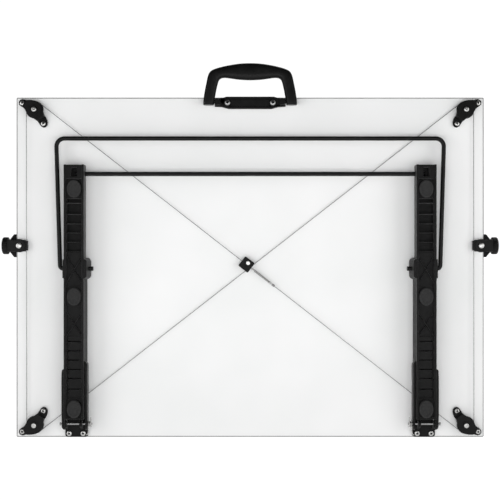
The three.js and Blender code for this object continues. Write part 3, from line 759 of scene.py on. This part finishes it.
def handle():
    show("handle_base_piece", handle_base(), GLOSS, "black_plastic", "handle_base")
    show("handle_grip_piece", handle_grip(), GLOSS, "black_plastic", "handle_grip")


# ---- folding stand ----

INNER_WALL = (227.4, 230.6)
OUTER_WALL = (251.6, 254.8)
CHANNEL = (230.4, 251.8)
LEG_MIDDLE = 241.1
LEG_INNER, LEG_OUTER, LEG_TOP = 7.0, 30, 377.1
WEB, DEEP_WEB, WEB_STEP_Z = (21, 23.5), (13, 15.5), 257  # the web lies deeper above the step
RIB_Z = (324.5, 309.2, 296.2, 283.7, 270.9, 257.9)
SLOT_Z = (69.3, 84.0, 96.3, 109.1, 121.7, 134.6)
FOOT_Z = (42.9, 196.3, 343.6)
HINGE_Z, HINGE_OUT = 20.4, 15.0
KNUCKLE_RADIUS = 8.3
SLOT_HALF = 1.0
PIN_BORE, ROD_BORE, ROD_RADIUS = 1.8, 3.3, 3
ROD_OUT = 15.5
PROP_Z = 234.4
CROSS_ROD_Z = 364.8
CROSS_ROD_END = 240.5


def brace(x0, z0, x1, z1, width, out0, out1):
    """A straight rib between two points of the channel."""
    along = Vector((x1 - x0, z1 - z0)).normalized()
    side = Vector((-along.y, along.x)) * (width / 2)
    a, b = Vector((x0, z0)), Vector((x1, z1))
    outline = [tuple(point) for point in (a + side, a - side, b - side, b + side)]
    return prism(outline, out0, out1, off_back, 0.25, 1)


def knuckled_cheek(top, rings):
    """A plate at the lower end of the leg that carries the hinge pin in a round knuckle. The rings
    give its places along X and how far its outline is drawn in at each."""
    knuckle = arc(HINGE_OUT, HINGE_Z, KNUCKLE_RADIUS, 20, -180, 18)
    outline = [(7.2, top - 10), (13, top), (22, top), (25, top - 12), (25, 40)] + knuckle + [
        (HINGE_OUT - KNUCKLE_RADIUS, 24), (7.2, 34)]
    return loft([[along_x(out, z, x) for out, z in inset(outline[::-1], drawn_in)]
                 for x, drawn_in in rings])


def prop_boss():
    """The D-shaped boss that the prop's stub runs through, wider where it meets the board."""
    sections = []
    for out, reach, half in ((3, 6.0, 14.4), (3.6, 6.8, 15), (28.6, 3.7, 13), (29.2, 3.1, 12.4)):
        corners = [(228.3, PROP_Z - half), (227.4 - reach, PROP_Z - half), (227.4 - reach, PROP_Z + half),
                   (228.3, PROP_Z + half)]
        outline = rounded(corners, [0, reach * 0.9, reach * 0.9, 0], 6)
        sections.append([off_back(x, z, out) for x, z in outline])
    return loft(sections)


def flared_flank():
    """Thickens the leg's inner wall towards the board between the boss and the cheek."""
    low, high = 104, PROP_Z - 12
    section = [(227.6, 21), (227.2, 21), (225.8, 9), (225.4, 7.6), (225.7, LEG_INNER), (227.6, LEG_INNER)]
    return loft([[off_back(x, z, out) for x, out in section] for z in (low, high)])


def leg_ribs():
    """What stands up from the web between the leg's walls."""
    c0, c1 = CHANNEL
    ribs = [block(c0, c1, 14, 25.7, z - 13, z + 13, 0.4) for z in FOOT_Z]
    ribs += [block(c0, c1, 14, 28.2, z - 0.6, z + 0.6, 0.25) for z in RIB_Z]
    panel_edge = LEG_MIDDLE + 7.2
    ends = (59,) + SLOT_Z + (142,)
    for low, high in zip(ends, ends[1:]):
        panel = rectangle(c0, panel_edge, low + SLOT_HALF, high - SLOT_HALF)
        ribs.append(prism(panel, 22, 26.6, off_back, 0.3))
        bevel = [(22, panel_edge - 0.4), (26.4, panel_edge - 0.4), (27.1, panel_edge),
                 (22, panel_edge + 1.4)]
        ribs.append(loft([[off_back(x, z, out) for out, x in bevel] for z in (low + 1.4, high - 1.4)]))
    for high, low in ((251.3, 215.6), (174.4, 142.2)):
        ribs.append(brace(c0, high, c1, low, 1.0, 22, 28.2))
        ribs.append(brace(c1 + 0.5, high + 1, c0 - 0.5, low - 1, 1.2, 22, 27.4))
    return ribs


def leg_beam():
    c0, c1 = CHANNEL
    bevel = prism([(223.4, 103), (227.4, 109), (223.4, 114)], 0, 31, off_back, 0)
    wall = rounded([(LEG_INNER, 28), (LEG_OUTER, 28), (LEG_OUTER, LEG_TOP), (LEG_INNER, LEG_TOP)],
                   [1, 2, 1.6, 2])
    parts = leg_ribs() + [
        prism(wall, *INNER_WALL, along_x, 0.7),
        prism(wall, *OUTER_WALL, along_x, 0.7),
        block(c0, c1, *WEB, 28.4, WEB_STEP_Z, 0.2),
        block(c0, c1, DEEP_WEB[0], WEB[1], WEB_STEP_Z - 2, WEB_STEP_Z, 0.2),
        block(c0, c1, *DEEP_WEB, WEB_STEP_Z - 2, 376.4, 0.2),
        block(c0, c1, LEG_INNER + 0.1, LEG_INNER + 2, 50, WEB_STEP_Z, 0.2),
        block(c0, c1, 8.2, 29.2, 373.7, 376.7, 0.5),
        block(c0, c1, 22, 29.2, 28.2, 30.6, 0.4),
        block(c0, c1, 14, 29.4, 357.6, 375, 0.5),
        knuckled_cheek(96.4, [(254.6, 0), (256.4, 0.2), (257.8, 0.9), (258.7, 2.0), (259.2, 3.6)]),
        cut(knuckled_cheek(109, [(223.6, 0.6), (224.2, 0), (226.5, 0)]), bevel),
        flared_flank(),
        prop_boss(),
        block(254.6, 256.6, 10, 29, PROP_Z - 13, PROP_Z + 13, 0.5),
    ]
    cuts = [
        block(LEG_MIDDLE - 4.4, LEG_MIDDLE + 4.4, 15.5, 32, 360.5, 373.4, 0.2),
        block(226.3, 228.0, 13, 32, 20, 107, 0),
        lathe([(PIN_BORE, 200), (PIN_BORE, 280)], on_x_axis(HINGE_Z, BACK_Y - HINGE_OUT), 24),
        lathe([(ROD_BORE, 200), (ROD_BORE, CROSS_ROD_END + 0.3)],
              on_x_axis(CROSS_ROD_Z, BACK_Y - ROD_OUT), 24),
        lathe([(ROD_BORE, 200), (ROD_BORE, 280)], on_x_axis(PROP_Z, BACK_Y - ROD_OUT), 24),
    ]
    cuts += [block(c0 + 2.4, c1 - 0.3, 15, 32, z - SLOT_HALF, z + SLOT_HALF, 0.1) for z in SLOT_Z]
    return cut(joined(*parts), *cuts)


def hinge_bracket():
    plate = prism(rounded(rectangle(225.1, 256.6, 0.4, 14.6), 3.5), 0.3, 4, off_back, 0.7, 3)
    upper = prism(rounded(rectangle(228.4, 254.2, 7, 35), [0, 0, 2, 2]), 0.35, 3.95, off_back, 0.6, 3)
    lug = [(3.2, 10)] + arc(HINGE_OUT, HINGE_Z, 5, -107, 142, 16) + [(3.2, 14.4)]
    lugs = [prism(lug, x0, x1, along_x, 0.4) for x0, x1 in ((231.3, 235.0), (252.4, 254.3))]
    bore = lathe([(PIN_BORE, 200), (PIN_BORE, 280)], on_x_axis(HINGE_Z, BACK_Y - HINGE_OUT), 20)
    return cut(joined(plate, upper, *lugs), bore)


def hinge_pin():
    return lathe([(1.2, 217.6), (1.5, 217.9), (1.5, 260.9), (2.4, 261.0), (2.4, 261.9), (2.0, 262.4)],
                 on_x_axis(HINGE_Z, BACK_Y - HINGE_OUT), 24)


def torsion_spring():
    """A coil on the hinge pin, with one end under the screw and the other on the leg."""
    turns = 3
    coil = []
    for i in range(turns * 16 + 1):
        t = -math.pi / 2 - 2 * math.pi * i / 16
        coil.append(Vector((223.4 - 4.5 * i / (turns * 16), BACK_Y - HINGE_OUT - 3.5 * math.cos(t),
                            HINGE_Z + 3.5 * math.sin(t))))
    near = smooth_between([Vector((227.4, BACK_Y - 5.2, 3.4)), Vector((225.2, BACK_Y - 5.2, 5.2)),
                           Vector((223.9, BACK_Y - 8, 10.2)), Vector((223.5, BACK_Y - 13, 15.8))], 5)
    far = smooth_between([Vector((218.8, BACK_Y - 18.2, 18.6)), Vector((218.8, BACK_Y - 20.6, 30))], 4)
    return tube(near + coil + far, 0.7, 10)


def rubber_foot(x, z):
    """An oval pad with a rounded rim and a shallow dish."""
    body = prism(ellipse(x, z, 19.2, 24.4, 48), 26, 34, off_back, 1.6, 5)
    dish = prism(ellipse(x, z, 13.6, 18.6, 48), 33.5, 35, off_back, 0.3, 2)
    return cut(body, dish)


def prop_bail():
    low_x, low_bend = 262.0, 4.6
    top_x, top_z, top_bend, top_out = 267.4, 414, 11, 12.2

    def place(x, z):
        lean = (z - PROP_Z) / (top_z - PROP_Z)
        return off_back(x, z, ROD_OUT + (top_out - ROD_OUT) * lean)
    right = [(216.2, PROP_Z), (228, PROP_Z), (245, PROP_Z)]
    right += arc(low_x - low_bend, PROP_Z + low_bend, low_bend, -90, 0, 8)
    right += [(low_x + (top_x - low_x) * k / 8,
               PROP_Z + low_bend + (top_z - top_bend - PROP_Z - low_bend) * k / 8) for k in range(1, 8)]
    right += arc(top_x - top_bend, top_z - top_bend, top_bend, 0, 90, 12)
    points = [place(x, z) for x, z in right] + [place(-x, z) for x, z in reversed(right)]
    return tube(points, ROD_RADIUS, 20)


def folding_stand():
    both(leg_beam, "leg_beam", BLACK, "black_plastic")
    both(hinge_bracket, "hinge_bracket", BLACK, "black_plastic")
    both(hinge_pin, "hinge_pin", STEEL, "zinc_plated_steel")
    both(torsion_spring, "torsion_spring", ZINC, "zinc_plated_steel")
    for side, s in SIDES:
        for name in ("lower", "middle", "upper"):
            node = f"rubber_foot_{side}_{name}"
            centre = node_centre(node)
            show(f"{node}_piece", rubber_foot(centre.x, centre.z), RUBBER, "rubber", node)
    rod = lathe([(ROD_RADIUS - 0.4, -CROSS_ROD_END), (ROD_RADIUS, 0.4 - CROSS_ROD_END),
                 (ROD_RADIUS, CROSS_ROD_END - 0.4), (ROD_RADIUS - 0.4, CROSS_ROD_END)],
                on_x_axis(CROSS_ROD_Z, BACK_Y - ROD_OUT), 24)
    show("cross_rod_piece", rod, ROD, "black_rod", "cross_rod")
    show("prop_bail_piece", prop_bail(), ROD, "black_rod", "prop_bail")


# ---- parallel ruler ----

RULER_Z = 266.0
CLAMP_X = 320.2
BLADE_HALF_HEIGHT, SCALE_HALF_LENGTH = 30, 280


def ruler_blade():
    top = BLADE_HALF_HEIGHT
    section = [(0.5, -top), (1.1, -top), (2.9, 7 - top), (2.9, top - 7), (1.1, top), (0.5, top)]
    return prism([(FRONT_Y + y, RULER_Z + z) for y, z in section], -294, 294,
                 lambda y, z, x: Vector((x, y, z)), 0.2, 1)


def ruler_spine():
    corners = [(3.2, -13), (5.4, -13), (9.4, -8), (9.4, -3), (8.6, -2.4),
               (8.6, 2.4), (9.4, 3), (9.4, 8), (5.4, 13), (3.2, 13)]
    section = rounded(corners, [0.3, 1, 1.5, 0.3, 0.3, 0.3, 0.3, 1.5, 1, 0.3], 3)
    return prism([(FRONT_Y + y, RULER_Z + z) for y, z in section], -299.4, 299.4,
                 lambda y, z, x: Vector((x, y, z)), 0.2, 1)


def ruler_head():
    z = RULER_Z
    cap = rounded([(299.8, z - 16.4), (333, z - 16.2), (339.4, z - 8), (339.4, z + 8), (333, z + 16.2),
                   (299.8, z + 16.4)], [1, 2, 1.5, 1.5, 2, 1])
    tail = rounded([(316, z - 8), (311.4, z - 8), (311.4, z - 6.6), (308.4, z - 6.6), (308.4, z + 6.6),
                    (311.4, z + 6.6), (311.4, z + 8), (316, z + 8)], [0, 0.4, 0.4, 0.6, 0.6, 0.4, 0.4, 0])
    neck = rounded([(-17.2, z - 8), (20, z - 8), (20, z + 8), (-17.2, z + 8)], [1.5, 2, 2, 1.5])
    wire_x = node_centre("pulley_top_right").x + WIRE_TURN
    form = joined(
        prism(cap, 3.2, 10.9, off_front, 1.2, 3),
        prism(neck, 325.8, 336.4, lambda y, b, x: Vector((x, y, b)), 0.6, 2),
        prism(tail, 0.7, 7.6, off_back, 0.6, 2),
        block(314, 327, 0.7, 7.9, z - 8, z + 8, 0.6),
        lathe([(8.8, 0.7), (9.2, 1.1), (9.2, 7.6), (8.6, 8.2)], at(CLAMP_X, z), 40),
        lathe([(8.4, 335), (9.4, 336), (9.8, 336.8), (9.8, 337.2)], on_x_axis(z), 40),
    )
    slot = block(wire_x - 0.9, wire_x + 0.9, 2.1, 6.6, z - 20, z + 20, 0)
    bore = lathe([(2.2, 2.6), (2.2, 20)], at(CLAMP_X, z), 24)
    return cut(form, slot, bore)


def clamp_screw():
    profile = [(1.9, 3), (1.9, 8.5), (3.8, 8.5), (3.9, 8.8), (3.9, 9.5), (3.5, 10.1), (2.6, 10.5),
               (1.7, 10.6)]
    head = lathe(profile, at(CLAMP_X, RULER_Z), 32)
    recess = [prism(rectangle(CLAMP_X - a, CLAMP_X + a, RULER_Z - b, RULER_Z + b), 9.3, 11, off_back, 0)
              for a, b in ((2.2, 0.5), (0.5, 2.2))]
    return cut(head, joined(*recess))


def lock_knob():
    """A round grip with fine flutes around its rim."""
    profile = [(2.0, 337.6), (11.0, 337.6), (11.7, 338.0), (12.0, 338.8), (12.0, 343.2), (11.7, 344.6),
               (10.9, 345.5), (9.6, 346.0), (8.4, 346.0), (7.6, 345.5), (2.0, 345.4)]
    flutes, sides = 30, 240

    def radius(r, k):
        return r - 0.28 * max(0, r - 10.6) * (0.5 - 0.5 * math.cos(2 * math.pi * flutes * k / sides))
    rings = []
    for r, x in profile:
        ring = []
        for k in range(sides):
            t = 2 * math.pi * k / sides
            ring.append(Vector((x, radius(r, k) * math.cos(t), RULER_Z + radius(r, k) * math.sin(t))))
        rings.append(ring)
    return loft(rings)


def scale_marks():
    """Millimetre marks along both edges of the blade, printed on its sloping bevels."""
    marks = []
    for edge in (-1, 1):
        for i in range(-SCALE_HALF_LENGTH, SCALE_HALF_LENGTH + 1):
            length = 6.0 if i % 10 == 0 else 4.4 if i % 5 == 0 else 3.0
            width = 0.11 if i % 5 else 0.14
            ends = []
            for reach in (29.6, 29.6 - length):
                above = 1.1 + (BLADE_HALF_HEIGHT - reach) * (1.8 / 7)
                ends.append([Vector((i + dx, FRONT_Y + above + dy, RULER_Z + edge * reach))
                             for dx, dy in ((-width, 0.01), (width, 0.01), (width, 0.05), (-width, 0.05))])
            marks.append(loft(ends))
    return gathered(*marks)


def numerals():
    """Centimetre numbers, read from the drawing side."""
    made = []
    for edge in (-1, 1):
        for i in range(SCALE_HALF_LENGTH // 5 + 1):
            text = bpy.data.curves.new("number", "FONT")
            text.body, text.size, text.align_x, text.align_y = str(i), 2.9, "CENTER", "CENTER"
            text.extrude, text.resolution_u = 0.02, 3
            holder = bpy.data.objects.new("number", text)
            bpy.context.scene.collection.objects.link(holder)
            bpy.context.view_layer.update()
            graph = bpy.context.evaluated_depsgraph_get()
            mesh = bpy.data.meshes.new_from_object(holder.evaluated_get(graph))
            bpy.data.objects.remove(holder)
            form = bmesh.new()
            form.from_mesh(mesh)
            bpy.data.meshes.remove(mesh)
            towards_reader = Matrix(((-1, 0, 0), (0, 0, 1), (0, 1, 0))).to_4x4()
            x = SCALE_HALF_LENGTH - 10 * i
            spot = Matrix.Translation((x, FRONT_Y + 2.94, RULER_Z + edge * 20.6))
            bmesh.ops.transform(form, matrix=spot @ towards_reader, verts=form.verts)
            made.append(form)
    return gathered(*made)


def ruler():
    show("ruler_blade_piece", ruler_blade(), ACRYLIC, "clear_acrylic", "ruler_blade")
    show("ruler_spine_piece", ruler_spine(), ANODISED, "ruler_spine", "ruler_spine")
    show("ruler_marks", scale_marks(), INK, "clear_acrylic", None, on_body="ruler")
    show("ruler_numbers", numerals(), INK, "clear_acrylic", None, on_body="ruler")
    both(ruler_head, "ruler_head", GLOSS, "black_plastic")
    both(clamp_screw, "clamp_screw", ZINC, "zinc_plated_steel")
    both(lock_knob, "lock_knob", GLOSS, "black_plastic")


# ---- board ----

def board():
    low, high = node_box("edge_band")
    inner = rectangle(low.x + 1.25, high.x - 1.25, low.z + 1.25, high.z - 1.25)
    panel = prism(inner, BACK_Y, FRONT_Y, lambda x, z, y: Vector((x, y, z)), 0.15, 1)
    show("board_panel_piece", panel, MELAMINE, "board_face", "board_panel")
    outer = rounded(rectangle(low.x, high.x, low.z, high.z), 1.5, 3)
    strip = prism(outer, BACK_Y, FRONT_Y, lambda x, z, y: Vector((x, y, z)), 0.4, 3)
    opening = prism(rectangle(low.x + 1.2, high.x - 1.2, low.z + 1.2, high.z - 1.2), -20, 20,
                    lambda x, z, y: Vector((x, y, z)), 0)
    show("edge_band_piece", cut(strip, opening), EDGE, "board_edge", "edge_band")


# ---- stage ----

CAMERA_DISTANCE = 1.600  # metres off the board's back
CAMERA_HEIGHT = 0.260


def camera():
    data = bpy.data.cameras.new("camera")
    data.sensor_width, data.lens = 36, 82.79
    viewer = bpy.data.objects.new("camera", data)
    viewer.location = (-0.0002, BACK_Y * MM - CAMERA_DISTANCE, CAMERA_HEIGHT)
    viewer.rotation_euler = (math.pi / 2, 0, 0)
    bpy.context.scene.collection.objects.link(viewer)
    bpy.context.scene.camera = viewer


def facing(place, target):
    return (Vector(target) - Vector(place)).to_track_quat("-Z", "Y")


def add_light(name, data, place, target):
    light = bpy.data.objects.new(name, data)
    light.location = place
    light.rotation_mode = "QUATERNION"
    light.rotation_quaternion = facing(place, target)
    bpy.context.scene.collection.objects.link(light)
    return light


def soft_sun(name, place, strength, width):
    """Even light from a wide patch of the sky; width is in degrees."""
    data = bpy.data.lights.new(name, "SUN")
    data.energy, data.angle = strength, math.radians(width)
    add_light(name, data, place, (0, 0, 0))


def soft_panel(name, place, target, width, height, power):
    data = bpy.data.lights.new(name, "AREA")
    data.shape, data.size, data.size_y, data.energy = "RECTANGLE", width, height, power
    add_light(name, data, place, target).visible_camera = False


def floor():
    form = bmesh.new()
    bmesh.ops.create_grid(form, x_segments=1, y_segments=1, size=60)
    mesh = bpy.data.meshes.new("floor")
    form.to_mesh(mesh)
    form.free()
    ground = bpy.data.objects.new("floor", mesh)
    ground.location.z = cad_low.z - 0.0005
    bpy.context.scene.collection.objects.link(ground)
    s = Surface("pale_floor", Specular_IOR_Level=0.1)
    s.colour(s.noise(300), grey(0.04), grey(0.06))
    s.shader.inputs["Emission Color"].default_value = (1, 1, 1, 1)
    s.shader.inputs["Emission Strength"].default_value = 1.0
    mesh.materials.append(s.material)


def studio():
    """A surround that is white to the camera and only a faint light, with two side softboxes, a
    front panel and a soft sun from behind."""
    world = bpy.data.worlds.new("studio")
    bpy.context.scene.world = world
    world.use_nodes = True
    nodes, links = world.node_tree.nodes, world.node_tree.links
    seen = nodes.new("ShaderNodeBackground")
    seen.inputs["Strength"].default_value = 1.05
    seen.inputs["Color"].default_value = (1, 1, 1, 1)
    lit = nodes["Background"]
    lit.inputs["Color"].default_value = (0.97, 0.985, 1, 1)
    lit.inputs["Strength"].default_value = 0.05
    rays, mix = nodes.new("ShaderNodeLightPath"), nodes.new("ShaderNodeMixShader")
    links.new(rays.outputs["Is Camera Ray"], mix.inputs["Fac"])
    links.new(lit.outputs["Background"], mix.inputs[1])
    links.new(seen.outputs["Background"], mix.inputs[2])
    links.new(mix.outputs["Shader"], nodes["World Output"].inputs["Surface"])
    for name, side in SIDES:
        soft_panel(f"softbox_{name}", (side * 1.0, -0.7, 0.45), (side * 0.15, 0, 0.22), 0.5, 0.9, 3.1)
    soft_panel("front", (0, -0.85, 0.2), (0, 0, 0.16), 1.1, 0.38, 3.1)
    soft_sun("rear", (0.4, 1.0, 0.8), 1.9, 60)
    bpy.context.scene.view_settings.view_transform = "Standard"


camera()
board()
corner_pulleys()
tensioner()
screws()
handle()
folding_stand()
ruler()
floor()
studio()
